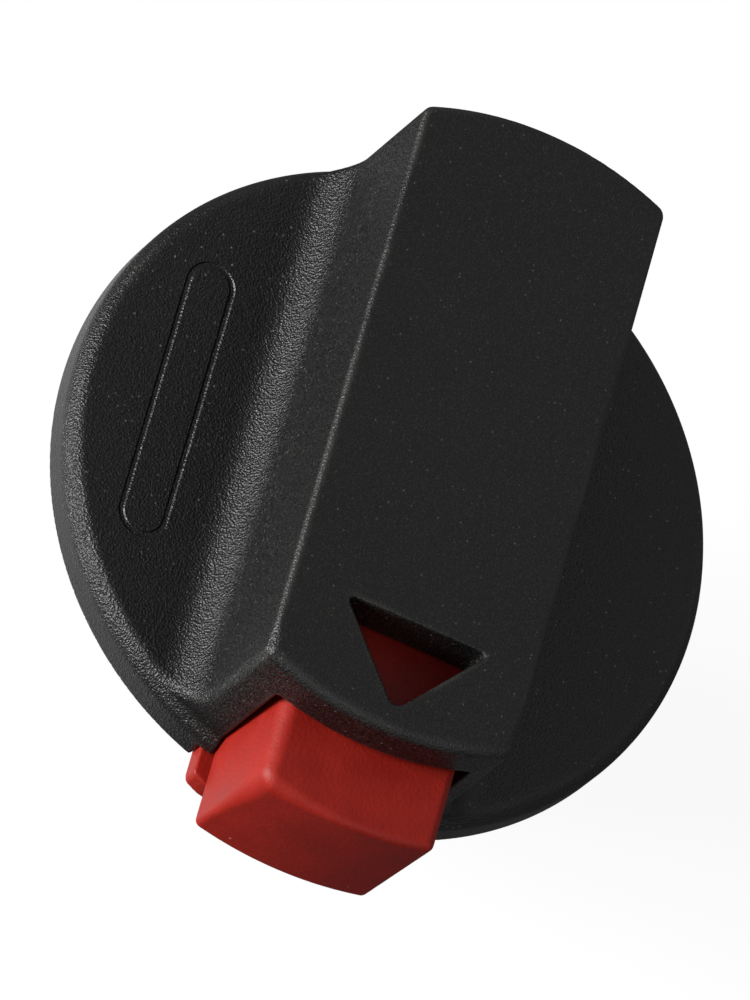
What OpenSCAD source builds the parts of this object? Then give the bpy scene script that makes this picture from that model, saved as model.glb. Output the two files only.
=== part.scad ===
// Rotary selector knob with a sprung lock button, its spindle and its seat.
// Millimetres, +Z up. The origin is on the turning axis, at the face that the bush's flange sits on.
// +Y is the far end of the grip. The lock button and the pointer window face -Y.
// Heights below are counted from the disc's underside, and lift() brings every node to the origin.

/* [Disc] */
// Outer radius of the disc
disc_r = 22.5; // [21:0.1:24]
// Height of the disc's flat top
disc_top_z = 3.4; // [3:0.1:4]
// Rounding of the disc's upper rim
rim_round = 1.3; // [0.8:0.1:1.6]
// Chamfer under the rim
rim_chamfer = 0.3; // [0.2:0.1:0.8]

/* [Grip] */
// Height of the grip's top face
grip_top_z = 16; // [15.5:0.1:18]
// Half width of the grip at the disc
grip_half_base = 8.95; // [8.8:0.05:9.4]
// Half width of the grip at its top edge
grip_half_top = 8.75; // [8.5:0.05:8.8]
// Radius of the cylinder that both grip ends lie on
grip_end_r = 21.9; // [21.2:0.1:22.4]
// Concave fillet where the grip's sides meet the disc
base_fillet = 3; // [2:0.1:3.6]
// Rounding of the grip's top edge
grip_edge = 0.45; // [0.3:0.05:0.7]

/* [Pocket and window] */
// Half width of the pocket the button slides in
pocket_half = 6.84; // [6.8:0.02:7]
// Sideways offset of the pocket's middle from the grip's middle
pocket_x = 0.56; // [0:0.02:0.6]
// Height of the pocket's ceiling
pocket_top_z = 12.45; // [12.3:0.05:12.8]
// Where the pocket ends behind the spring
pocket_back_y = 4; // [3.5:0.1:4.5]
// Sideways offset of the window's tip
window_x = 0.33; // [0:0.01:0.5]
// The window's base line
window_base_y = -14.15; // [-14.6:0.05:-13.6]
// Half the length of the window's base
window_half = 5.13; // [4.4:0.01:5.4]
// The window's tip
window_tip_y = -20.4; // [-20.8:0.1:-19.8]
// Corner radius of the window
window_round = 0.6; // [0.3:0.1:0.9]

/* [Lock button] */
// Half width of the button
button_half = 6.15; // [5.8:0.05:6.2]
// Height of the button's top face
button_top_z = 12.15; // [11.6:0.05:12.2]
// Height of the front face's lower edge
button_bottom_z = 1.8; // [1.75:0.05:2.2]
// Radius of the cylinder the front face lies on
button_front_r = 27.3; // [26:0.1:28]
// Edge rounding of the button
button_edge = 0.5; // [0.3:0.1:0.9]
// Half width of the foot that slides under the disc
foot_half = 7.05; // [6.95:0.05:7.3]
// Front end of the foot
foot_front_y = -23.8; // [-24.4:0.1:-23.4]
// How far the button presses in
press_travel = 4; // [3:0.1:4]
// How far the lock tongue hangs below the disc
tongue_drop = 4.5; // [3:0.1:5]

/* [Button spring] */
// Wire diameter
spring_wire = 0.6; // [0.5:0.05:0.65]
// Mean coil radius
spring_mean_r = 2.65; // [2.6:0.05:2.75]
// Number of turns, closed ends included
spring_turns = 9; // [8:1:11]

/* [Spindle] */
// Radius of the spindle where it turns in the bush
spindle_r = 8; // [7.8:0.05:8]
// Radius of the spindle's flange
spindle_flange_r = 15; // [14.4:0.1:15]
// Thickness of the spindle's flange
spindle_flange_t = 3; // [2.8:0.1:3.2]
// Radius of the shift pin
pin_r = 2; // [1.6:0.1:2.1]
// Offset of the shift pin from the turning axis
pin_offset = 4.6; // [4:0.1:4.7]
// Free length of the shift pin
pin_free = 6.5; // [4:0.5:9]

/* [Bush] */
// Outer radius of the bush's barrel
bush_r = 11; // [10.6:0.1:11.4]
// Radius of the bush's flange
bush_flange_r = 14; // [13:0.1:14.2]
// Thickness of the bush's flange
bush_flange_t = 3; // [2.5:0.1:3]
// Overall length of the bush
bush_len = 12; // [11:0.5:13]

/* [Hidden] */
$fn = 96;
play = 0.05;              // radial play of a turning fit
gap = 0.02;               // axial gap between stacked faces
over = 1;                 // how far a cutter runs past the face it opens
lap = 0.1;                // how far fillets sink into the faces they blend
// Shell
groove_top_z = 1.8;       // roof of the groove the foot slides in
groove_half = foot_half + 0.1;
lug_half = 9;             // half width of the stop lugs at the back of the foot
lug_front_y = -15.95;
lug_len = 4;
lug_clear = 0.15;
foot_bottom_z = 0.06;
foot_top_z = groove_top_z - 0.08;
wall = 2.1;
core_front_y = pocket_back_y + 2;
core_end_r = grip_end_r - wall;
core_top_z = grip_top_z - wall;
spring_axis_z = 6.8;
spring_seat_r = 2;
spring_seat_len = 2.5;
// Screws
screw_x = 4.4;
screw_y = 9;
screw_r = 1.5;
screw_top_z = 8;
screw_boss_r = 3.2;
screw_head_r = 2.6;
screw_head_h = 1.7;
screw_seat_z = -1.2;
screw_hole_clear = 0.1;
screw_head_clear = 0.15;
// Drive key of the spindle, between the two screw bosses
key_half = 1.1;
key_y = 6.6;
key_len = 4.8;
key_h = 4;
// Button
button_back_y = -9;
button_bore_r = 3.4;
button_bore_end_y = -15;
tongue_half = 3;
tongue_front_y = -21.4;
tongue_t = 2;
// Shift pin
pin_sunk = 8;             // length pressed into the spindle
pin_shank_r = pin_r + 0.25;
// Axial stack under the spindle's flange
washer_t = 0.5;
washer_clear = 0.1;
thrust_r = 13;
thrust_top_z = -spindle_flange_t - gap;
bush_top_z = thrust_top_z - washer_t - gap;
bush_bottom_z = bush_top_z - bush_len;
lower_top_z = bush_bottom_z - gap;
wave_top_z = lower_top_z - washer_t - gap;
wave_t = 0.3;
wave_rise = 0.4;
ring_top_z = wave_top_z - wave_t - wave_rise - gap;
ring_t = 1;
ring_groove_r = spindle_r - 0.8;
spindle_end_z = ring_top_z - ring_t - 1.2;
// O-ring
oring_z = bush_top_z - bush_len / 2;
oring_cord_r = 0.78;
oring_groove_half = 1.2;
oring_groove_r = spindle_r - 1.55;
oring_mid_r = spindle_r + play - gap - oring_cord_r;

BLACK_PLASTIC = [0.11, 0.11, 0.12];
RED_PLASTIC = [0.75, 0.08, 0.07];
DARK_PLASTIC = [0.2, 0.2, 0.21];
STEEL = [0.62, 0.63, 0.65];
BRONZE = [0.62, 0.45, 0.25];
RUBBER = [0.06, 0.06, 0.06];

// Moves a node from the disc's underside to the row's origin.
module lift() {
    translate([0, 0, bush_flange_t - bush_top_z]) children();
}

// A ring standing on z0, between radii ri and ro.
module ring(ri, ro, z0, h) {
    translate([0, 0, z0])
        difference() {
            cylinder(r = ro, h = h);
            translate([0, 0, -over]) cylinder(r = ri, h = h + 2 * over);
        }
}

// A box centred on X and given by its limits in Y and Z.
module slab(half, y0, y1, z0, z1) {
    translate([-half, y0, z0]) cube([2 * half, y1 - y0, z1 - z0]);
}

// A solid of revolution from z0 to z1 whose upper edge is rounded.
module round_top_post(r, z0, z1, edge) {
    rotate_extrude() {
        translate([0, z0]) square([r, z1 - edge - z0]);
        translate([0, z0]) square([r - edge, z1 - z0]);
        translate([r - edge, z1 - edge]) intersection() {
            circle(r = edge);
            square(2 * edge);
        }
    }
}

// The disc, with a rounded upper rim and a chamfer under it.
module disc() {
    difference() {
        round_top_post(disc_r, 0, disc_top_z, rim_round);
        rotate_extrude()
            polygon([[disc_r - rim_chamfer, -over], [disc_r + over, -over],
                [disc_r + over, rim_chamfer], [disc_r, rim_chamfer], [disc_r - rim_chamfer, 0]]);
    }
}

// Cross-section of the grip with its two base fillets, in X and Z.
module grip_section() {
    polygon([[-grip_half_base, 0], [grip_half_base, 0], [grip_half_top, grip_top_z - grip_edge],
        [grip_half_top - grip_edge, grip_top_z], [grip_edge - grip_half_top, grip_top_z],
        [-grip_half_top, grip_top_z - grip_edge]]);
    for (side = [-1, 1])
        translate([side * (grip_half_top - grip_edge), grip_top_z - grip_edge])
            circle(r = grip_edge);
    for (side = [0, 1])
        mirror([side, 0])
            difference() {
                translate([grip_half_top - 1, 0])
                    square([base_fillet + 1, disc_top_z + base_fillet - lap]);
                translate([grip_half_base + base_fillet - lap, disc_top_z + base_fillet - lap])
                    circle(r = base_fillet);
            }
}

// The grip: one section run along Y and trimmed by the cylinder of its ends.
module grip() {
    intersection() {
        round_top_post(grip_end_r, 0, grip_top_z, grip_edge);
        rotate([90, 0, 0])
            linear_extrude(height = 2 * disc_r, center = true) grip_section();
    }
}

// Triangle with rounded corners: base on y = base_y, tip towards -Y.
module pointer(half, base_y, tip_y, r) {
    slope = atan2(base_y - tip_y, half);
    nx = sin(slope);
    ny = -cos(slope);
    low = base_y - r;
    cx = half - r / tan(slope / 2);
    ct = tip_y + r / cos(slope);
    polygon([[-cx, base_y], [cx, base_y], [cx + r * nx, low + r * ny], [r * nx, ct + r * ny],
        [-r * nx, ct + r * ny], [-cx - r * nx, low + r * ny]]);
    for (c = [[-cx, low], [cx, low], [0, ct]])
        translate(c) circle(r = r);
}

// Blank engraved panel on the left flat of the disc.
module blank_panel() {
    panel_x = -15.6;
    panel_half = 8.4;
    panel_r = 1.7;
    line_w = 0.35;
    depth = 0.15;
    translate([panel_x, 0, disc_top_z - depth])
        linear_extrude(height = over)
            difference() {
                stadium(panel_half, panel_r);
                stadium(panel_half, panel_r - line_w);
            }
}

// A slot shape along Y with round ends.
module stadium(half, r) {
    translate([-r, -half]) square([2 * r, 2 * half]);
    for (side = [-1, 1])
        translate([0, side * half]) circle(r = r);
}

// Ribbed recess that keeps the disc's underside at an even wall.
module underside_recess() {
    inner = 16.6;
    outer = 20.6;
    depth = 1.2;
    rib_t = 1.2;
    rib_step = 30;
    front_clear = 11;
    difference() {
        ring(inner, outer, -over, depth + over);
        slab(front_clear, -disc_r, 0, -2 * over, depth + over);
        for (a = [0:rib_step:360 - rib_step])
            rotate([0, 0, a])
                translate([0, -rib_t / 2, -2 * over]) cube([disc_r, rib_t, depth + 3 * over]);
    }
}

// Hollow in the far half of the grip, around the screw bosses.
module core() {
    difference() {
        intersection() {
            cylinder(r = core_end_r, h = core_top_z);
            slab(pocket_half, core_front_y, disc_r, -over, core_top_z);
        }
        for (side = [-1, 1])
            translate([side * screw_x, screw_y, -over])
                cylinder(r = screw_boss_r, h = core_top_z + 2 * over);
    }
}

module knob_shell() {
    color(BLACK_PLASTIC) lift()
        difference() {
            union() {
                disc();
                grip();
            }
            difference() {
                translate([pocket_x, 0, 0])
                    slab(pocket_half, -disc_r - over, pocket_back_y, -over, pocket_top_z);
                translate([0, pocket_back_y + over, spring_axis_z])
                    rotate([90, 0, 0])
                        cylinder(r = spring_seat_r, h = spring_seat_len + over);
            }
            slab(groove_half, -disc_r - over, lug_front_y + lug_len + press_travel,
                -over, groove_top_z);
            slab(lug_half + lug_clear, lug_front_y - play,
                lug_front_y + lug_len + press_travel + 2 * lug_clear,
                -over, groove_top_z);
            translate([window_x, 0, pocket_top_z - over])
                linear_extrude(height = grip_top_z)
                    pointer(window_half, window_base_y, window_tip_y, window_round);
            core();
            for (side = [-1, 1])
                translate([side * screw_x, screw_y, -over])
                    cylinder(r = screw_r, h = screw_top_z + 1 + over);
            underside_recess();
            blank_panel();
        }
}

// Cross-section of the button's body in X and Z, with rounded edges.
module button_section() {
    x = button_half - button_edge;
    z0 = button_bottom_z + button_edge;
    z1 = button_top_z - button_edge;
    translate([-button_half, z0]) square([2 * button_half, z1 - z0]);
    translate([-x, button_bottom_z]) square([2 * x, button_top_z - button_bottom_z]);
    for (px = [-x, x])
        for (pz = [z0, z1])
            translate([px, pz]) circle(r = button_edge);
}

// The front of the button: a disc whose two edges are rounded.
module button_front() {
    r = button_front_r;
    e = button_edge;
    z0 = button_bottom_z;
    z1 = button_top_z;
    rotate_extrude() {
        translate([0, z0]) square([r - e, z1 - z0]);
        translate([0, z0 + e]) square([r, z1 - z0 - 2 * e]);
        for (z = [z0 + e, z1 - e])
            translate([r - e, z])
                intersection() {
                    circle(r = e);
                    translate([0, -e]) square(2 * e);
                }
    }
}

// The foot: a plate with its front corners cut off.
module foot() {
    corner_x = 1.3;
    corner_y = 0.65;
    back_y = lug_front_y + lug_len;
    translate([0, 0, foot_bottom_z])
        linear_extrude(height = foot_top_z - foot_bottom_z)
            polygon([[-foot_half, back_y], [-foot_half, foot_front_y + corner_y],
                [corner_x - foot_half, foot_front_y], [foot_half - corner_x, foot_front_y],
                [foot_half, foot_front_y + corner_y], [foot_half, back_y]]);
}

module lock_button() {
    color(RED_PLASTIC) lift()
        difference() {
            union() {
                intersection() {
                    button_front();
                    translate([0, button_back_y, 0])
                        rotate([90, 0, 0])
                            linear_extrude(height = button_front_r) button_section();
                }
                foot();
                slab(lug_half, lug_front_y, lug_front_y + lug_len, foot_bottom_z, foot_top_z);
                slab(button_half - button_edge - 0.2, foot_front_y + 0.3, button_back_y,
                    foot_bottom_z + 0.2, button_bottom_z + 1);
                slab(tongue_half, tongue_front_y, tongue_front_y + tongue_t,
                    -tongue_drop, foot_bottom_z + 1);
            }
            translate([0, button_bore_end_y, spring_axis_z])
                rotate([-90, 0, 0])
                    cylinder(r = button_bore_r, h = button_back_y - button_bore_end_y + over);
        }
}

spring_front_y = button_bore_end_y + gap;
spring_len = pocket_back_y - gap - spring_front_y;
coil_steps = 24;
coil_sides = 8;
coil_rows = spring_turns * coil_steps;
coil_span = spring_len - spring_wire;
coil_closed = spring_wire * 1.05;

// Height of the wire's centre after t turns: both end turns lie closed.
function coil_z(t) =
    t < 1 ? coil_closed * t
    : t > spring_turns - 1 ? coil_span - coil_closed * (spring_turns - t)
    : coil_closed + (t - 1) * (coil_span - 2 * coil_closed) / (spring_turns - 2);

// One point of the wire's skin.
function coil_point(row, side) =
    let (t = row / coil_steps, a = 360 * t, b = 360 * side / coil_sides)
    let (r = spring_mean_r + spring_wire / 2 * cos(b))
    [r * cos(a), r * sin(a), spring_wire / 2 + coil_z(t) + spring_wire / 2 * sin(b)];

module button_spring() {
    points = [for (row = [0:coil_rows]) for (side = [0:coil_sides - 1]) coil_point(row, side)];
    walls = [for (row = [0:coil_rows - 1]) for (side = [0:coil_sides - 1])
        let (next = (side + 1) % coil_sides)
        [row * coil_sides + side, row * coil_sides + next,
            (row + 1) * coil_sides + next, (row + 1) * coil_sides + side]];
    first = [for (side = [coil_sides - 1:-1:0]) side];
    last = [for (side = [0:coil_sides - 1]) coil_rows * coil_sides + side];
    color(STEEL) lift()
        translate([0, spring_front_y, spring_axis_z])
            rotate([-90, 0, 0])
                polyhedron(points = points, faces = concat(walls, [first], [last]), convexity = 10);
}

// Half section of the spindle: flange, O-ring groove and ring groove.
module spindle_section() {
    e = 0.4;
    polygon([[0, 0], [spindle_flange_r - e, 0], [spindle_flange_r, -e],
        [spindle_flange_r, e - spindle_flange_t], [spindle_flange_r - e, -spindle_flange_t],
        [spindle_r, -spindle_flange_t], [spindle_r, oring_z + oring_groove_half],
        [oring_groove_r, oring_z + oring_groove_half],
        [oring_groove_r, oring_z - oring_groove_half],
        [spindle_r, oring_z - oring_groove_half], [spindle_r, ring_top_z + gap],
        [ring_groove_r, ring_top_z + gap], [ring_groove_r, ring_top_z - ring_t - gap],
        [spindle_r, ring_top_z - ring_t - gap], [spindle_r, spindle_end_z + e],
        [spindle_r - e, spindle_end_z], [0, spindle_end_z]]);
}

module spindle() {
    recess_r = 3;
    recess_y = -3.4;
    color(DARK_PLASTIC) lift()
        difference() {
            union() {
                rotate_extrude() spindle_section();
                slab(key_half, key_y, key_y + key_len, -over, key_h);
            }
            for (side = [-1, 1])
                translate([side * screw_x, screw_y, 0]) {
                    translate([0, 0, -spindle_flange_t - over])
                        cylinder(r = screw_r + screw_hole_clear, h = spindle_flange_t + 2 * over);
                    translate([0, 0, -spindle_flange_t - over])
                        cylinder(r = screw_head_r + screw_head_clear,
                            h = spindle_flange_t + over + screw_seat_z);
                }
            translate([0, pin_offset, spindle_end_z - over])
                cylinder(r = pin_shank_r, h = pin_sunk + over);
            translate([0, recess_y, spindle_end_z - over])
                cylinder(r = recess_r, h = pin_sunk + over);
        }
}

// Shift pin: a plain free end below a thicker pressed shank.
module shift_pin() {
    e = 0.3;
    len = pin_free + pin_sunk;
    color(STEEL) lift()
        translate([0, pin_offset, spindle_end_z - pin_free])
            rotate_extrude()
                polygon([[0, 0], [pin_r - e, 0], [pin_r, e], [pin_r, pin_free],
                    [pin_shank_r, pin_free], [pin_shank_r, len - e],
                    [pin_shank_r - e, len], [0, len]]);
}

// One screw, its head down, with a six-lobe drive recess.
module screw() {
    drive_r = 0.95;
    lobe_r = 0.3;
    drive_depth = 1.1;
    tip = 0.7;
    difference() {
        rotate_extrude()
            polygon([[0, screw_seat_z - screw_head_h], [screw_head_r - 0.4, screw_seat_z - screw_head_h],
                [screw_head_r, screw_seat_z - screw_head_h + 0.5], [screw_head_r, screw_seat_z],
                [screw_r, screw_seat_z], [screw_r, screw_top_z - tip],
                [screw_r - tip, screw_top_z], [0, screw_top_z]]);
        translate([0, 0, screw_seat_z - screw_head_h - over]) {
            cylinder(r = drive_r, h = over + drive_depth);
            for (a = [0:60:300])
                rotate([0, 0, a]) translate([drive_r, 0, 0]) cylinder(r = lobe_r, h = over + drive_depth);
        }
    }
}

module spindle_screws() {
    color(STEEL) lift()
        for (side = [-1, 1])
            translate([side * screw_x, screw_y, 0]) screw();
}

module o_ring() {
    color(RUBBER) lift()
        translate([0, 0, oring_z])
            rotate_extrude()
                translate([oring_mid_r, 0]) circle(r = oring_cord_r);
}

module thrust_washer() {
    color(DARK_PLASTIC) lift()
        ring(spindle_r + washer_clear, thrust_r, thrust_top_z - washer_t, washer_t);
}

// The bush: flange, barrel and plain bore, with two key notches in the flange.
module mounting_bush() {
    e = 0.5;
    bore = spindle_r + play;
    notch_r = 1.3;
    notch_out = 0.2;
    color(BRONZE) lift()
        difference() {
            rotate_extrude()
                polygon([[bore, bush_top_z], [bush_flange_r - e, bush_top_z],
                    [bush_flange_r, bush_top_z - e], [bush_flange_r, bush_top_z - bush_flange_t],
                    [bush_r, bush_top_z - bush_flange_t], [bush_r, bush_bottom_z + e],
                    [bush_r - e, bush_bottom_z], [bore, bush_bottom_z]]);
            for (side = [-1, 1])
                translate([side * (bush_flange_r + notch_out), 0, bush_top_z - bush_flange_t - over])
                    cylinder(r = notch_r, h = bush_flange_t + 2 * over);
        }
}

module lower_washer() {
    inset = 0.7;
    color(STEEL) lift()
        ring(spindle_r + washer_clear, bush_r - inset, lower_top_z - washer_t, washer_t);
}

wave_steps = 96;
wave_count = 3;
wave_in_r = spindle_r + 0.25;
wave_out_r = bush_r - 0.9;

// One corner of the wave washer's section: k = 0 and 1 are the lower pair.
function wave_point(i, k) =
    let (a = 360 * i / wave_steps)
    let (r = (k == 0 || k == 3) ? wave_in_r : wave_out_r)
    let (mid = wave_top_z - wave_t - wave_rise / 2 + wave_rise / 2 * cos(wave_count * a))
    [r * cos(a), r * sin(a), mid + (k > 1 ? wave_t : 0)];

module wave_washer() {
    points = [for (i = [0:wave_steps - 1]) for (k = [0:3]) wave_point(i, k)];
    faces = [for (i = [0:wave_steps - 1]) for (k = [0:3])
        let (j = (i + 1) % wave_steps, n = (k + 1) % 4)
        [i * 4 + k, i * 4 + n, j * 4 + n, j * 4 + k]];
    color(STEEL) lift()
        polyhedron(points = points, faces = faces, convexity = 6);
}

// Spring ring with a gap and two holed lugs, in the spindle's lower groove.
module retaining_ring() {
    ri = ring_groove_r + 0.03;
    ro = spindle_r + 1.5;
    lug_r = 1.5;
    lug_x = 2.1;
    lug_y = -ro + 0.4;
    hole_r = 0.7;
    gap_half = 0.7;
    z0 = ring_top_z - ring_t;
    color(STEEL) lift()
        difference() {
            union() {
                ring(ri, ro, z0, ring_t);
                for (side = [-1, 1])
                    translate([side * lug_x, lug_y, z0]) cylinder(r = lug_r, h = ring_t);
            }
            translate([0, 0, z0 - over]) {
                translate([-gap_half, -ro - 3, 0]) cube([2 * gap_half, 6, ring_t + 2 * over]);
                cylinder(r = ri, h = ring_t + 2 * over);
                for (side = [-1, 1])
                    translate([side * lug_x, lug_y, 0])
                        cylinder(r = hole_r, h = ring_t + 2 * over);
            }
        }
}

knob_shell();
lock_button();
button_spring();
spindle();
spindle_screws();
shift_pin();
o_ring();
thrust_washer();
mounting_bush();
lower_washer();
wave_washer();
retaining_ring();
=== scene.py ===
"""Looks for the rotary selector knob: smooth skins built from distance fields, materials and studio light."""
import math

import bpy
import numpy as np
from mathutils import Matrix, Vector


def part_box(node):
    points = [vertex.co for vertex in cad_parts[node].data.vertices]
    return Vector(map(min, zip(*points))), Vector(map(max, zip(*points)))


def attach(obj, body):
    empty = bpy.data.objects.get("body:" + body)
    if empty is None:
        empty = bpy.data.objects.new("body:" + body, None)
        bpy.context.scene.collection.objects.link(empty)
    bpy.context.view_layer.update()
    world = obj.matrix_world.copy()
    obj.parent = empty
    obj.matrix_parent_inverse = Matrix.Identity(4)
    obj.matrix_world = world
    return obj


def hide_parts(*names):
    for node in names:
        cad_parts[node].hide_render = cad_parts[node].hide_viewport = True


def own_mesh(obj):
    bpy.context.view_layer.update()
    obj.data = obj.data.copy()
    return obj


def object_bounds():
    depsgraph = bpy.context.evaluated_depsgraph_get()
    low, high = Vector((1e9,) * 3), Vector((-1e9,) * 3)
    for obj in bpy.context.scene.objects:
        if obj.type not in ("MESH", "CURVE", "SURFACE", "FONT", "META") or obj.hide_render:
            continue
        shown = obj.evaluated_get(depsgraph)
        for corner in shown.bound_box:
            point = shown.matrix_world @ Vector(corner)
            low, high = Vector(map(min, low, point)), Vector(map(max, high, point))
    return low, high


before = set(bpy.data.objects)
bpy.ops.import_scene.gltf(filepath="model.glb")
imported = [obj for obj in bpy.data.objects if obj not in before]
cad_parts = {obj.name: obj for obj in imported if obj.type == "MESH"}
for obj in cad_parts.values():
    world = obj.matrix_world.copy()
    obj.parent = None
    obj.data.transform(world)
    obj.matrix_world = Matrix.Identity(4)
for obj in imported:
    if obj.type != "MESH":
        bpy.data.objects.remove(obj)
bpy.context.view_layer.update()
MM = 0.001
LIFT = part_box("knob_shell")[0][2] / MM  # from the row's origin up to the disc's underside, height 0 below

# Sizes in mm that more than one shape uses; heights are from the disc's underside.
DISC_R, DISC_TOP, GRIP_TOP = 22.5, 3.4, 16
SPINDLE_R, SCREW_X, SCREW_Y, PIN_Y, SHANK_R = 8.0, 4.4, 9.0, 4.6, 2.25
SPRING_Z, PRESS = 6.8, 4.0


def limits(node):
    """A node's lowest and highest corners in mm, with heights from the disc's underside."""
    return [np.array(corner, float) / MM - (0, 0, LIFT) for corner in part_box(node)]


# ---------------------------------------------------------------- distance fields, in mm
def cut_round(a, b, r):
    """Intersection of two fields whose shared edge is rounded to r."""
    return np.minimum(np.maximum(a, b), -r) + np.hypot(np.maximum(a + r, 0), np.maximum(b + r, 0))


def join_round(a, b, r):
    """Union of two fields with a fillet of r between them."""
    return -cut_round(-a, -b, r)


def bar(v, lo, hi):
    """The slab where v is between lo and hi."""
    return np.maximum(lo - v, v - hi)


def smooth(t):
    """An eased step from 0 at t = 0 to 1 at t = 1."""
    t = np.clip(t, 0, 1)
    return t * t * (3 - 2 * t)


def cyl(u, v, r, cu=0.0, cv=0.0):
    """A round rod of radius r at (cu, cv), across the plane of u and v."""
    return np.hypot(u - cu, v - cv) - r


def pointer(x, y):
    """The window's triangle with rounded corners: base line towards +Y, tip towards -Y."""
    middle, half, base, tip = 0.33, 5.13, -14.15, -20.4
    tip_round, base_round = 0.9, 0.6
    length = math.hypot(half, base - tip)
    left, right = [(s * (x - middle) * (base - tip) - half * (y - tip)) / length for s in (-1, 1)]
    return cut_round(cut_round(left, right, tip_round), y - base, base_round)


def shell(p):
    """Disc and bar grip with the button's pocket, the window, a cored far half and a ribbed underside."""
    x, y, z = p
    ax, rho = np.abs(x), np.hypot(x, y)
    grip_half, draft, grip_r, far_reach, fillet = 8.95, 0.2, 21.9, 0.2, 3.0
    side = ax - (grip_half - draft * z / GRIP_TOP)
    end = rho - grip_r - far_reach * smooth(y / 8)
    top_round, under_round = 1.3, 0.3
    disc = cut_round(cut_round(rho - DISC_R, z - DISC_TOP, top_round), -z, under_round)
    foot = cut_round(join_round(side, z - DISC_TOP, fillet), end, 0.5)
    edge_round, near_round = 0.42, 0.4
    near = smooth((end + 2.6) / 2.0) * smooth(-y / 6)
    grip = cut_round(foot, z - GRIP_TOP, edge_round + near_round * near)
    d = join_round(np.maximum(grip, -z), disc, 0.35)
    pocket_x, pocket_half, pocket_top, pocket_end = 0.56, 6.84, 12.45, 4
    ceiling = cut_round(np.abs(x - pocket_x) - pocket_half, z - pocket_top, 0.3)
    pocket = np.maximum(ceiling, y - pocket_end)
    stud_r, stud_front = 2.0, 1.5
    stud = np.maximum(cyl(x, z, stud_r, 0, SPRING_Z), stud_front - y)
    pocket = cut_round(pocket, -stud, 0.2)
    d = cut_round(d, -pocket, 0.22)
    way_top, foot_way_half, foot_way_back = 1.8, 7.15, -7.95
    lug_way_half, lug_way_front, lug_way_back = 9.15, -16, -7.65
    foot_way = np.maximum(ax - foot_way_half, y - foot_way_back)
    lug_way = np.maximum(ax - lug_way_half, bar(y, lug_way_front, lug_way_back))
    groove = np.maximum(bar(z, -9, way_top), np.minimum(foot_way, lug_way))
    d = cut_round(d, -groove, 0.12)
    window_low = 11
    window = np.maximum(pointer(x, y), window_low - z)
    d = cut_round(d, -window, 0.16)
    boss_r, core_r, core_half, core_start, core_top = 3.2, 19.8, 6.9, 6, 13.9
    bosses = cyl(ax, y, boss_r, SCREW_X, SCREW_Y)
    core = np.maximum(np.maximum(rho - core_r, ax - core_half), np.maximum(core_start - y, z - core_top))
    core = cut_round(core, -bosses, 0.3)
    d = cut_round(d, -core, 0.25)
    thread_r, thread_top = 1.5, 9
    d = cut_round(d, -np.maximum(cyl(ax, y, thread_r, SCREW_X, SCREW_Y), z - thread_top), 0.15)
    rib_pitch, rib_half = 30, 0.6
    ang = np.degrees(np.arctan2(y, x)) % rib_pitch
    rib = rho * np.sin(np.radians(np.minimum(ang, rib_pitch - ang))) - rib_half
    ring_in, ring_out, ring_deep, solid_half = 16.6, 20.6, 1.2, 11
    ring = np.maximum(np.maximum(bar(rho, ring_in, ring_out), z - ring_deep), -rib)
    ring = np.maximum(ring, -np.maximum(ax - solid_half, y))
    return cut_round(d, -ring, 0.2)


def button(p):
    """Hollow-backed button on a sliding plate with two lugs and the lock tongue, leaning a little to +X."""
    x, y, z = p
    ax, rho = np.abs(x), np.hypot(x, y)
    half, reach, top, low, back = 6.17, 27.3, 12.15, 1.75, -9
    top_shift, lean_start, lean_span = 0.5, 1.8, 10.35
    lean = x - top_shift * np.clip((z - lean_start) / lean_span, 0, 1)
    side = np.abs(lean) - half
    rubbed = smooth((z - 4) / 7) * smooth(-x / 6)
    front = cut_round(side, rho - reach, 0.4 + 0.8 * rubbed)
    body = cut_round(front, z - top, 0.6 + 0.5 * smooth(-x / 6))
    body = cut_round(cut_round(body, low - z, 0.5), y - back, 0.5)
    foot_half, foot_front, foot_back, foot_low, foot_top = 7.05, -23.8, -11.95, 0.06, 1.72
    corner_y, corner_dx, corner_dy, corner_len = -23.15, 0.65, 1.3, 1.4534
    offset = (foot_half * corner_dx - corner_y * corner_dy) / corner_len
    corner = (ax * corner_dx - y * corner_dy) / corner_len - offset
    plate = cut_round(cut_round(ax - foot_half, foot_front - y, 0.3), corner, 0.3)
    plate = np.maximum(plate, y - foot_back)
    lug_half, lug_front = 9, -15.95
    lugs = cut_round(ax - lug_half, bar(y, lug_front, foot_back), 0.3)
    plate = cut_round(np.minimum(plate, lugs), bar(z, foot_low, foot_top), 0.2)
    neck_half, neck_front, neck_back = 5.5, -23.5, -9.2
    neck = np.maximum(ax - neck_half, neck_front - y)
    neck = np.maximum(neck, np.maximum(y - neck_back, bar(z, 0.3, 3)))
    tongue_half, tongue_front, tongue_back, tongue_low = 3, -21.4, -19.4, -4.5
    tongue = cut_round(ax - tongue_half, bar(y, tongue_front, tongue_back), 0.35)
    tongue = cut_round(tongue, bar(z, tongue_low, 1), 0.35)
    d = join_round(body, np.minimum(plate, neck), 0.12)
    d = join_round(d, tongue, 0.3)
    bore_r, bore_end = 3.4, -15
    bore = np.maximum(cyl(x, z, bore_r, 0, SPRING_Z), bore_end - y)
    return cut_round(d, -bore, 0.2)


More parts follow.
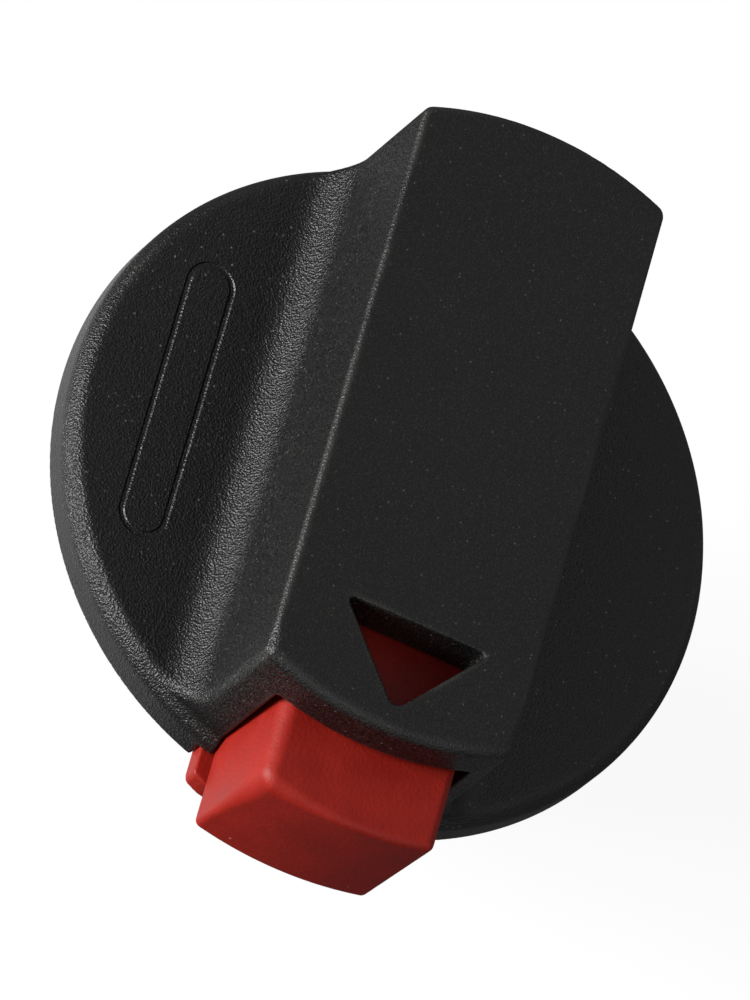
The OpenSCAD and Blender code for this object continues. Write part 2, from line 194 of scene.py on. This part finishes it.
def spindle(p):
    """Flanged spindle with its two grooves, drive key, screw holes, pin bore and core recess."""
    x, y, z = p
    ax, rho = np.abs(x), np.hypot(x, y)
    low = limits("spindle")[0][2]
    seal, clip = limits("o_ring"), limits("retaining_ring")
    flange_r, flange_low = 15, -3
    flange = cut_round(rho - flange_r, bar(z, flange_low, 0), 0.4)
    shaft = cut_round(rho - SPINDLE_R, bar(z, low, -1), 0.4)
    d = join_round(flange, shaft, 0.08)
    seal_floor, seal_half, clip_floor, clip_clear = 6.45, 1.2, 7.2, 0.02
    mid = (seal[0][2] + seal[1][2]) / 2
    seal_groove = np.maximum(seal_floor - rho, bar(z, mid - seal_half, mid + seal_half))
    clip_slot = bar(z, clip[0][2] - clip_clear, clip[1][2] + clip_clear)
    clip_groove = np.maximum(clip_floor - rho, clip_slot)
    d = cut_round(d, -np.minimum(seal_groove, clip_groove), 0.1)
    key_half, key_front, key_back, key_top = 1.1, 6.6, 11.4, 4
    key = cut_round(np.maximum(ax - key_half, bar(y, key_front, key_back)), bar(z, -1, key_top), 0.2)
    d = join_round(d, key, 0.2)
    hole_r, head_r, seat_z = 1.6, 2.75, -1.2
    hole = np.maximum(cyl(ax, y, hole_r, SCREW_X, SCREW_Y), z - 1)
    head = np.maximum(cyl(ax, y, head_r, SCREW_X, SCREW_Y), z - seat_z)
    recess_r, recess_y, depth = 3, -3.4, 8
    recess = cut_round(cyl(x, y, recess_r, 0, recess_y), z - low - depth, 0.5)
    deep = np.minimum(cyl(x, y, SHANK_R, 0, PIN_Y), recess)
    deep = np.maximum(deep, z - low - depth)
    d = cut_round(d, -np.minimum(hole, head), 0.15)
    return cut_round(d, -deep, 0.15)


def screws(p):
    """Two thread-forming screws, heads down, each with a six-lobe drive."""
    x, y, z = p
    u, v = x - np.where(x > 0, SCREW_X, -SCREW_X), y - SCREW_Y
    rad, turn = np.hypot(u, v), np.arctan2(v, u) / math.tau
    pitch, core, crest = 1.15, 1.14, 1.5
    ridge = 1 - np.abs(2 * ((z / pitch - turn) % 1) - 1)
    thread = rad - core - (crest - core) * np.clip(1.7 * ridge - 0.6, 0, 1)
    shank_low, shank_top, cone = -1.4, 8, 8.8
    shank = np.maximum(np.maximum(thread, bar(z, shank_low, shank_top)), (rad + z - cone) / math.sqrt(2))
    head_r, head_low, head_top = 2.6, -2.9, -1.2
    head = cut_round(rad - head_r, bar(z, head_low, head_top), 0.35)
    drive_r, lobe, drive_top = 0.98, 0.24, -1.8
    lobes = rad - drive_r - lobe * np.cos(6 * math.tau * turn)
    return cut_round(np.minimum(shank, head), -np.maximum(lobes, z - drive_top), 0.08)


def pin(p):
    """Shift pin: a ground free end below a thicker pressed shank."""
    x, y, z = p
    low, high = (c[2] for c in limits("shift_pin"))
    free_r, shank_length = 2, 8
    rad = np.hypot(x, y - PIN_Y)
    shank = cut_round(rad - SHANK_R, bar(z, high - shank_length, high), 0.12)
    return join_round(cut_round(rad - free_r, bar(z, low, high - 0.5), 0.3), shank, 0.03)


def seal(p):
    """O-ring of round cord."""
    x, y, z = p
    low, high = limits("o_ring")
    cord = (high[2] - low[2]) / 2
    return np.hypot(np.hypot(x, y) - high[0] + cord, z - low[2] - cord) - cord


def flat_washer(node):
    """The field of a stamped ring with softened edges, sized by the node it stands for."""
    low, high = limits(node)

    def field(p):
        x, y, z = p
        return cut_round(bar(np.hypot(x, y), SPINDLE_R + 0.1, high[0]), bar(z, low[2], high[2]), 0.08)
    return field


def wave_washer(p):
    """Thin ring that rises and falls three times in a turn."""
    x, y, z = p
    low, high = limits("wave_washer")
    thick = 0.3
    rise = (high[2] - low[2] - thick) / 2
    floor_z = low[2] + rise * (1 + np.cos(3 * np.arctan2(y, x)))
    return cut_round(bar(np.hypot(x, y), SPINDLE_R + 0.25, high[0]), bar(z - floor_z, 0, thick), 0.06)


def bush(p):
    """Plain bush with a flange on top and two key notches."""
    x, y, z = p
    rho = np.hypot(x, y)
    low, high = (c[2] for c in limits("mounting_bush"))
    barrel_r, flange_r, flange_thick, play = 11, 14, 3, 0.05
    barrel = cut_round(rho - barrel_r, bar(z, low, high), 0.5)
    flange = cut_round(rho - flange_r, bar(z, high - flange_thick, high), 0.35)
    d = cut_round(join_round(barrel, flange, 0.12), SPINDLE_R + play - rho, 0.3)
    notch_r, notch_x = 1.3, 14.2
    return cut_round(d, -cyl(np.abs(x), y, notch_r, notch_x, 0), 0.15)


def clip_ring(p):
    """Retaining ring with a gap and two holed lugs."""
    x, y, z = p
    ax, rho = np.abs(x), np.hypot(x, y)
    low, high = (c[2] for c in limits("retaining_ring"))
    inner, outer = 7.23, SPINDLE_R + 1.5
    lug_x, lug_y, lug_r, gap_half, plier_r = 2.1, 0.4 - outer, 1.5, 0.7, 0.7
    d = join_round(bar(rho, inner, outer), cyl(ax, y, lug_r, lug_x, lug_y), 0.3)
    d = cut_round(np.maximum(d, inner - rho), -np.maximum(ax - gap_half, y), 0.12)
    d = cut_round(d, -cyl(ax, y, plier_r, lug_x, lug_y), 0.05)
    return cut_round(d, bar(z, low, high), 0.1)


def skin(name, field, step, body, node, slot, band=0.35):
    """A closed mesh of field's surface: one vertex per crossed cell, then pulled exactly onto the field."""
    lo, hi = limits(node)
    lo, hi = lo - 0.6, hi + 0.6
    count = np.ceil((hi - lo) / step).astype(int) + 1
    axes = [lo[i] + step * np.arange(count[i]) for i in range(3)]
    layers = [field(np.meshgrid(axes[0], axes[1], axes[2][k:k + 8], indexing="ij"))
              for k in range(0, count[2], 8)]
    f = np.concatenate(layers, axis=2)
    inside = f < 0
    cells = tuple(c - 1 for c in count)
    corners = [(i, j, k) for i in (0, 1) for j in (0, 1) for k in (0, 1)]
    total = np.zeros(cells, np.int8)
    for i, j, k in corners:
        total += inside[i:i + cells[0], j:j + cells[1], k:k + cells[2]]
    active = (total > 0) & (total < 8)
    at = np.argwhere(active)
    index = np.full(cells, -1)
    index[active] = np.arange(len(at))
    v = np.stack([f[at[:, 0] + i, at[:, 1] + j, at[:, 2] + k] for i, j, k in corners], 1)
    place, hits = np.zeros((len(at), 3)), np.zeros(len(at))
    for a, ca in enumerate(corners):
        for b, cb in enumerate(corners):
            if b > a and sum(abs(m - n) for m, n in zip(ca, cb)) == 1:
                crossed = (v[:, a] < 0) != (v[:, b] < 0)
                t = np.where(crossed, v[:, a] / np.where(crossed, v[:, a] - v[:, b], 1), 0)
                q = np.array(ca) + t[:, None] * (np.array(cb) - np.array(ca))
                place += q * crossed[:, None]
                hits += crossed
    p = lo + step * (at + place / hits[:, None])
    h = 0.02
    for _ in range(3):
        base, slope = probe(field, p, h)
        grad = slope / np.maximum(np.linalg.norm(slope, axis=1), 0.3)[:, None]
        p = p - np.clip(base, -step / 2, step / 2)[:, None] * grad
    quads = []
    for axis in range(3):
        o1, o2 = [a for a in range(3) if a != axis]
        near, far = [slice(None)] * 3, [slice(None)] * 3
        near[axis], far[axis] = slice(0, -1), slice(1, None)
        a, b = inside[tuple(near)], inside[tuple(far)]
        e = np.argwhere(a != b)
        e = e[(e[:, o1] > 0) & (e[:, o2] > 0) & (e[:, o1] < cells[o1]) & (e[:, o2] < cells[o2])]
        ring = []
        for s1, s2 in ((1, 1), (0, 1), (0, 0), (1, 0)):
            c = e.copy()
            c[:, o1] -= s1
            c[:, o2] -= s2
            ring.append(index[c[:, 0], c[:, 1], c[:, 2]])
        ring = np.stack(ring, 1)
        flip = a[tuple(e.T)] == (axis == 1)
        ring[flip] = ring[flip][:, ::-1]
        quads.append(ring)
    quads = np.concatenate(quads)
    _, slope = probe(field, p, h)
    normal = slope / np.maximum(np.linalg.norm(slope, axis=1), 1e-9)[:, None]
    mesh = bpy.data.meshes.new(name)
    mesh.vertices.add(len(p))
    mesh.vertices.foreach_set("co", ((p + (0, 0, LIFT)) * MM).astype(np.float32).ravel())
    mesh.loops.add(quads.size)
    mesh.loops.foreach_set("vertex_index", quads.astype(np.int32).ravel())
    mesh.polygons.add(len(quads))
    mesh.polygons.foreach_set("loop_start", np.arange(0, quads.size, 4, dtype=np.int32))
    mesh.update(calc_edges=True)
    mesh.validate()
    mesh.polygons.foreach_set("use_smooth", np.ones(len(quads), bool))
    mesh.normals_split_custom_set_from_vertices([tuple(n) for n in normal])
    base, _ = probe(field, p, band)
    lap = sum(field(tuple((p + s * band * np.eye(3)[a]).T)) for a in range(3) for s in (-1, 1))
    edge = mesh.attributes.new("edge", "FLOAT", "POINT")
    edge.data.foreach_set("value", np.clip(lap / band, -1, 1).astype(np.float32))
    obj = bpy.data.objects.new(name, mesh)
    bpy.context.scene.collection.objects.link(obj)
    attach(obj, body)
    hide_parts(node)
    obj.data.materials.append(MATERIALS[slot])
    return obj


def coil(name, body, node, slot):
    """The button's spring: round wire along Y with both end turns closed."""
    low, high = limits(node)
    wire, mean_r, turns, steps, sides = 0.3, high[0] - 0.3, 9, 48, 16
    closed = 2.1 * wire
    t = np.linspace(0, turns, turns * steps + 1)
    span = high[1] - low[1] - 2 * wire
    along = np.interp(t, (0, 1, turns - 1, turns), (0, closed, span - closed, span))
    ease = 9
    along[ease:-ease] = np.convolve(along, np.ones(2 * ease + 1) / (2 * ease + 1), "valid")
    a, b = math.tau * t[:, None], math.tau * np.arange(sides) / sides
    ends = np.minimum(np.arange(len(t)), np.arange(len(t))[::-1])
    thick = wire * np.sin(np.minimum(1, (ends + 1) / 5) * math.pi / 2)[:, None]
    r = mean_r + thick * np.cos(b)
    mid_z = (low[2] + high[2]) / 2
    y = low[1] + wire + along[:, None] + thick * np.sin(b)
    ring = np.stack([r * np.cos(a), y, mid_z - r * np.sin(a)], 2)
    rows = np.arange(len(t) - 1)[:, None] * sides
    k, n = np.arange(sides), (np.arange(sides) + 1) % sides
    faces = np.stack([rows + k, rows + sides + k, rows + sides + n, rows + n], 2).reshape(-1, 4).tolist()
    last = (len(t) - 1) * sides
    faces += [list(range(sides)), [last + i for i in reversed(range(sides))]]
    mesh = bpy.data.meshes.new(name)
    mesh.from_pydata(((ring.reshape(-1, 3) + (0, 0, LIFT)) * MM).tolist(), [], faces)
    mesh.polygons.foreach_set("use_smooth", np.ones(len(faces), bool))
    obj = bpy.data.objects.new(name, mesh)
    bpy.context.scene.collection.objects.link(obj)
    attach(obj, body)
    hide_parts(node)
    mesh.materials.append(MATERIALS[slot])
    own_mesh(obj)


def probe(field, p, h):
    """The field and its slope at points p, from steps of h."""
    base = field(tuple(p.T))
    slope = np.stack([field(tuple((p + h * np.eye(3)[a]).T)) - field(tuple((p - h * np.eye(3)[a]).T))
                      for a in range(3)], 1) / (2 * h)
    return base, slope


# ---------------------------------------------------------------- materials
class Nodes:
    """Short ways to add shader nodes."""

    def __init__(self, name):
        self.mat = bpy.data.materials.new(name)
        self.mat.use_nodes = True
        self.tree = self.mat.node_tree
        self.shader = self.tree.nodes["Principled BSDF"]

    def add(self, kind, inputs=None, **props):
        n = self.tree.nodes.new(kind)
        for k, v in props.items():
            setattr(n, k, v)
        for k, v in (inputs or {}).items():
            if isinstance(v, bpy.types.NodeSocket):
                self.tree.links.new(v, n.inputs[k])
            else:
                n.inputs[k].default_value = v
        return n

    def math(self, op, a, b=0.0, c=0.0, clamp=False):
        return self.add("ShaderNodeMath", {0: a, 1: b, 2: c}, operation=op, use_clamp=clamp).outputs[0]

    def remap(self, v, a, b, c=0.0, d=1.0):
        span = {"Value": v, "From Min": a, "From Max": b, "To Min": c, "To Max": d}
        return self.add("ShaderNodeMapRange", span).outputs[0]

    def noise(self, at, scale, detail, roughness=0.5):
        inputs = {"Vector": at, "Scale": scale, "Detail": detail, "Roughness": roughness}
        return self.add("ShaderNodeTexNoise", inputs).outputs[0]

    def mix(self, t, a, b):
        n = self.add("ShaderNodeMix", data_type="RGBA")
        for socket, value in ((n.inputs[0], t), (n.inputs[6], a), (n.inputs[7], b)):
            if isinstance(value, bpy.types.NodeSocket):
                self.tree.links.new(value, socket)
            else:
                socket.default_value = value
        return n.outputs[2]

    def set(self, **inputs):
        for k, v in inputs.items():
            k = k.replace("_", " ")
            if isinstance(v, bpy.types.NodeSocket):
                self.tree.links.new(v, self.shader.inputs[k])
            else:
                self.shader.inputs[k].default_value = v
        return self.mat


def black_nylon():
    """Glass-filled nylon: grain, finer on the grip's top, mottled gloss and painted highlight flecks on its
    walls, and pale fibre ends.
    """
    m = Nodes("black_nylon")
    at = m.add("ShaderNodeTexCoord").outputs["Object"]
    z = m.add("ShaderNodeSeparateXYZ", {0: at}).outputs[2]
    top = m.remap(z, (LIFT + GRIP_TOP - 0.7) * MM, (LIFT + GRIP_TOP - 0.1) * MM)
    grain = m.noise(at, 10500.0, 2.0, 0.6)
    pits = m.add("ShaderNodeTexVoronoi", {"Vector": at, "Scale": 6200.0, "Randomness": 1.0}).outputs[0]
    slow = m.noise(at, 160.0, 4.0)
    speck = m.add("ShaderNodeTexVoronoi", {"Vector": at, "Scale": 2600.0, "Randomness": 1.0}).outputs
    fleck = m.math("MULTIPLY", m.remap(speck[0], 0.24, 0.12),
                   m.remap(m.add("ShaderNodeSeparateColor", {0: speck[1]}).outputs[0], 0.80, 0.95))
    edge = m.add("ShaderNodeAttribute", attribute_name="edge").outputs["Fac"]
    worn = m.math("MULTIPLY", m.remap(edge, 0.15, 0.8), m.remap(slow, 0.40, 0.65), clamp=True)
    height = m.math("ADD", m.math("MULTIPLY", grain, 0.8), pits)
    height = m.math("MULTIPLY", height, m.remap(top, 0, 1, 1.0, 0.5))
    height = m.math("ADD", height, m.math("MULTIPLY", blank_panel(m, at), -2.6))
    bump = m.add("ShaderNodeBump", {"Height": height, "Strength": 1.0, "Distance": 0.00006}).outputs[0]
    dark = m.mix(m.remap(slow, 0.3, 0.7), (0.0014, 0.0014, 0.0015, 1), (0.0028, 0.0027, 0.0026, 1))
    face = m.mix(m.remap(slow, 0.3, 0.7), (0.0016, 0.0016, 0.0016, 1), (0.0030, 0.0029, 0.0028, 1))
    dark = m.mix(top, dark, face)
    dark = m.mix(m.remap(grain, 0.5, 0.7, 0.0, 0.45), dark, (0.036, 0.035, 0.033, 1))
    dark = m.mix(m.math("MULTIPLY", worn, 0.3), dark, (0.05, 0.048, 0.045, 1))
    dark = m.mix(m.math("MULTIPLY", fleck, m.remap(top, 0, 1, 0.45, 0.22)), dark, (0.22, 0.21, 0.19, 1))
    rough = m.math("ADD", m.remap(grain, 0.3, 0.7, 0.31, 0.40), m.remap(top, 0, 1, 0.0, 0.06))
    facing = m.add("ShaderNodeTexCoord").outputs["Normal"]
    upright = m.remap(m.math("ABSOLUTE", m.add("ShaderNodeSeparateXYZ", {0: facing}).outputs[2]), 0.5, 0.25)
    above = m.remap(z, (LIFT + DISC_TOP + 0.8) * MM, (LIFT + DISC_TOP + 2.0) * MM)
    wall = m.math("MULTIPLY", upright, above)
    coarse = m.noise(at, 5600.0, 3.0, 0.65)
    gloss = m.math("MULTIPLY_ADD", wall, m.remap(coarse, 0.36, 0.64, -0.42, 0.42), 0.5)
    # Pale patches where the walls' coarse grain is glossiest are painted highlight flecks, not a tone of the
    # plastic.
    wall_painted_highlights = m.math("MULTIPLY", m.math("MULTIPLY", wall, m.remap(coarse, 0.58, 0.72)), 0.45)
    dark = m.mix(wall_painted_highlights, dark, (0.06, 0.057, 0.055, 1))
    return m.set(Base_Color=dark, Roughness=rough, Normal=bump, IOR=1.5, Specular_IOR_Level=gloss)


def blank_panel(m, at):
    """1 along a stadium-shaped line on the left flat of the disc."""
    from_axis, half_straight, radius = 0.0156, 0.0084, 0.001525
    x, y, z = m.add("ShaderNodeSeparateXYZ", {0: at}).outputs
    u = m.math("ADD", x, from_axis)
    v = m.math("MAXIMUM", m.math("SUBTRACT", m.math("ABSOLUTE", y), half_straight), 0.0)
    d = m.math("SQRT", m.math("ADD", m.math("MULTIPLY", u, u), m.math("MULTIPLY", v, v)))
    off = m.math("ABSOLUTE", m.math("SUBTRACT", d, radius))
    line = m.remap(off, 0.00022, 0.00010)
    height = m.math("ABSOLUTE", m.math("SUBTRACT", z, (LIFT + DISC_TOP) * MM))
    flat = m.math("LESS_THAN", height, 0.0004)
    return m.math("MULTIPLY", line, flat)


def red_plastic():
    """Satin red, slightly mottled, paler where fingers rub the edges, with a little dust."""
    m = Nodes("red_plastic")
    at = m.add("ShaderNodeTexCoord").outputs["Object"]
    fine = m.noise(at, 3800.0, 3.0)
    slow = m.noise(at, 420.0, 4.0)
    edge = m.add("ShaderNodeAttribute", attribute_name="edge").outputs["Fac"]
    worn = m.remap(edge, 0.1, 0.9)
    speck = m.add("ShaderNodeTexVoronoi", {"Vector": at, "Scale": 1300.0}).outputs
    dust = m.math("MULTIPLY", m.remap(speck[0], 0.14, 0.07),
                  m.remap(m.add("ShaderNodeSeparateColor", {0: speck[1]}).outputs[0], 0.93, 0.97))
    red = m.mix(m.remap(slow, 0.3, 0.7), (0.228, 0.0062, 0.0022, 1), (0.280, 0.0087, 0.0032, 1))
    red = m.mix(m.math("MULTIPLY", worn, 0.1), red, (0.34, 0.02, 0.009, 1))
    red = m.mix(m.math("MULTIPLY", dust, 0.5), red, (0.6, 0.42, 0.36, 1))
    bump = m.add("ShaderNodeBump", {"Height": m.math("ADD", fine, m.math("MULTIPLY", slow, 0.8)),
                                    "Strength": 0.4, "Distance": 0.00008}).outputs[0]
    return m.set(Base_Color=red, Roughness=m.remap(slow, 0.3, 0.7, 0.48, 0.60), Normal=bump, IOR=1.48,
                 Specular_IOR_Level=0.34,
                 Subsurface_Weight=0.2, Subsurface_Radius=(0.0012, 0.0003, 0.0002), Subsurface_Scale=1.0)


def worked(name, dark, pale, worn, rough, metallic=1.0, grain=2600.0, lines=0.0, axis_y=0.0, pits=0.0,
           bump=0.00004):
    """A machined, stamped or moulded finish: grain, pores, rubbed edges and, with lines above 0, turning
    marks round an axis parallel to Z at y = axis_y."""
    m = Nodes(name)
    at = m.add("ShaderNodeTexCoord").outputs["Object"]
    x, y, z = m.add("ShaderNodeSeparateXYZ", {0: at}).outputs
    off_y = m.math("SUBTRACT", y, axis_y)
    rho = m.math("SQRT", m.math("ADD", m.math("MULTIPLY", x, x), m.math("MULTIPLY", off_y, off_y)))
    ring = m.add("ShaderNodeCombineXYZ", {0: rho, 1: z}).outputs[0]
    cut = m.noise(ring, 7000.0, 4.0, 0.7)
    fine = m.noise(at, grain, 3.0)
    slow = m.noise(at, 240.0, 5.0)
    pore = m.add("ShaderNodeTexVoronoi", {"Vector": at, "Scale": 5200.0}).outputs[0]
    pore = m.math("MULTIPLY", m.remap(pore, 0.30, 0.12), pits)
    edge = m.add("ShaderNodeAttribute", attribute_name="edge").outputs["Fac"]
    rubbed = m.math("MULTIPLY", m.remap(edge, 0.12, 0.7), m.remap(slow, 0.35, 0.6), clamp=True)
    colour = m.mix(m.remap(slow, 0.32, 0.68), dark, pale)
    colour = m.mix(m.math("MULTIPLY", m.remap(cut, 0.45, 0.7), 0.35 * lines), colour, worn)
    colour = m.mix(m.math("MULTIPLY", rubbed, 0.7), colour, worn)
    colour = m.mix(pore, colour, (0.03, 0.022, 0.014, 1))
    height = m.math("ADD", m.math("MULTIPLY", fine, 1.0 - 0.7 * lines), m.math("MULTIPLY", cut, lines))
    height = m.math("SUBTRACT", height, m.math("MULTIPLY", pore, 1.5))
    normal = m.add("ShaderNodeBump", {"Height": height, "Strength": 0.8, "Distance": bump}).outputs[0]
    satin = m.math("ADD", m.math("MULTIPLY", fine, 0.5), m.math("MULTIPLY", slow, 0.5))
    roughness = m.remap(satin, 0.35, 0.65, *rough)
    return m.set(Base_Color=colour, Metallic=metallic, Roughness=roughness, Normal=normal)


MATERIALS = {
    "black_nylon": black_nylon(),
    "red_plastic": red_plastic(),
    "dark_plastic": worked("dark_plastic", (0.010, 0.010, 0.011, 1), (0.016, 0.016, 0.017, 1),
                           (0.06, 0.06, 0.06, 1), (0.3, 0.48), metallic=0.0, grain=3600.0, lines=0.3),
    "washer_plastic": worked("washer_plastic", (0.50, 0.47, 0.39, 1), (0.60, 0.57, 0.49, 1),
                             (0.42, 0.38, 0.30, 1), (0.35, 0.55), metallic=0.0, lines=0.2),
    "spring_steel": worked("spring_steel", (0.40, 0.40, 0.41, 1), (0.56, 0.56, 0.57, 1),
                           (0.7, 0.7, 0.7, 1), (0.18, 0.36), grain=5200.0),
    "zinc_steel": worked("zinc_steel", (0.48, 0.50, 0.55, 1), (0.62, 0.60, 0.52, 1),
                         (0.72, 0.72, 0.72, 1), (0.24, 0.42), grain=1800.0),
    "ground_steel": worked("ground_steel", (0.46, 0.46, 0.47, 1), (0.58, 0.58, 0.58, 1),
                           (0.74, 0.74, 0.74, 1), (0.16, 0.32), lines=1.0, axis_y=PIN_Y * MM),
    "dark_steel": worked("dark_steel", (0.035, 0.034, 0.034, 1), (0.07, 0.068, 0.066, 1),
                         (0.42, 0.41, 0.40, 1), (0.34, 0.52), grain=3200.0),
    "sintered_bronze": worked("sintered_bronze", (0.42, 0.27, 0.13, 1), (0.52, 0.35, 0.18, 1),
                              (0.70, 0.52, 0.30, 1), (0.30, 0.48), grain=3000.0, lines=0.4, pits=0.5),
    "seal_rubber": worked("seal_rubber", (0.010, 0.010, 0.010, 1), (0.020, 0.020, 0.019, 1),
                          (0.03, 0.03, 0.03, 1), (0.52, 0.72), metallic=0.0, grain=2400.0),
}

# ---------------------------------------------------------------- pieces
skin("knob_skin", shell, 0.2, "knob", "knob_shell", "black_nylon")
skin("button_skin", button, 0.16, "button", "lock_button", "red_plastic")
coil("spring_coil", "knob", "button_spring", "spring_steel")
skin("spindle_skin", spindle, 0.22, "knob", "spindle", "dark_plastic")
skin("screw_pair", screws, 0.11, "knob", "spindle_screws", "zinc_steel", band=0.12)
skin("pin_skin", pin, 0.14, "knob", "shift_pin", "ground_steel", band=0.2)
skin("seal_skin", seal, 0.14, "knob", "o_ring", "seal_rubber", band=0.15)
skin("thrust_skin", flat_washer("thrust_washer"), 0.14, "knob", "thrust_washer", "washer_plastic", band=0.1)
skin("bush_skin", bush, 0.2, "seat", "mounting_bush", "sintered_bronze", band=0.25)
skin("lower_washer_skin", flat_washer("lower_washer"), 0.14, "knob", "lower_washer", "zinc_steel", band=0.1)
skin("wave_skin", wave_washer, 0.11, "knob", "wave_washer", "spring_steel", band=0.08)
skin("clip_skin", clip_ring, 0.13, "knob", "retaining_ring", "dark_steel", band=0.15)

# ---------------------------------------------------------------- stage
floor_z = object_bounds()[0][2]
bpy.ops.mesh.primitive_plane_add(size=6, location=(0, 0, floor_z))
floor = bpy.context.object
floor.name = "floor"
m = Nodes("floor")
glow = m.math("MULTIPLY", m.add("ShaderNodeLightPath").outputs["Is Camera Ray"], 0.90)
below = m.math("SUBTRACT", 1.0, m.add("ShaderNodeNewGeometry").outputs["Backfacing"])
floor.data.materials.append(m.set(Base_Color=(0.12, 0.12, 0.12, 1), Roughness=0.9, Specular_IOR_Level=0.1,
                                  Emission_Color=(1, 1, 1, 1), Emission_Strength=glow, Alpha=below))

AZ, EL, ROLL = math.radians(-30.552), math.radians(59.379), math.radians(50.552)
DIST, PIXELS, AIM_Z = 0.96174, 14894.3, 1.84  # distance in m, focal length in pixels, height in mm
SENSOR, LONG_SIDE = 36, 1000
back = Vector((math.sin(AZ) * math.cos(EL), -math.cos(AZ) * math.cos(EL), math.sin(EL)))
x0 = Vector((0, 0, 1)).cross(back).normalized()
y0 = back.cross(x0)
cx = math.cos(ROLL) * x0 + math.sin(ROLL) * y0
cy = -math.sin(ROLL) * x0 + math.cos(ROLL) * y0
camera = bpy.data.objects.new("camera", bpy.data.cameras.new("camera"))
bpy.context.scene.collection.objects.link(camera)
camera.matrix_world = Matrix.Translation(Vector((0, 0, (LIFT + AIM_Z) * MM)) + back * DIST) @ Matrix(
    (cx, cy, back)).transposed().to_4x4()
camera.data.sensor_width = camera.data.sensor_height = SENSOR
camera.data.sensor_fit = "AUTO"
camera.data.lens = PIXELS * SENSOR / LONG_SIDE
camera.data.shift_x, camera.data.shift_y = -0.00717, 0.00139
camera.data.clip_start, camera.data.clip_end = 0.01, 20
bpy.context.scene.camera = camera


def area(name, toward, dist, size, power):
    """A soft square light in direction toward, facing the origin."""
    light = bpy.data.lights.new(name, "AREA")
    light.shape, light.size, light.energy = "SQUARE", size, power
    o = bpy.data.objects.new(name, light)
    bpy.context.scene.collection.objects.link(o)
    d = Vector(toward).normalized()
    o.location = d * dist
    o.rotation_euler = d.to_track_quat("Z", "Y").to_euler()
    return o


key = area("key", (-1.0, -0.18, 0.32), 0.9, 0.35, 15)
key.data.shape, key.data.size_y = "RECTANGLE", 0.24
area("fill", (0.15, -0.75, 0.65), 0.9, 0.5, 0.75)
card = area("card", (-0.04, 0, floor_z + 0.0005), 0.044, 0.06, 0.008)
card.rotation_euler = (math.pi, 0, 0)
card.visible_camera = False
world = bpy.data.worlds.new("world")
bpy.context.scene.world = world
world.use_nodes = True
world.node_tree.nodes["Background"].inputs[0].default_value = (1, 1, 1, 1)
world.node_tree.nodes["Background"].inputs[1].default_value = 0.30
bpy.context.scene.view_settings.view_transform = "Standard"

bpy.context.view_layer.update()
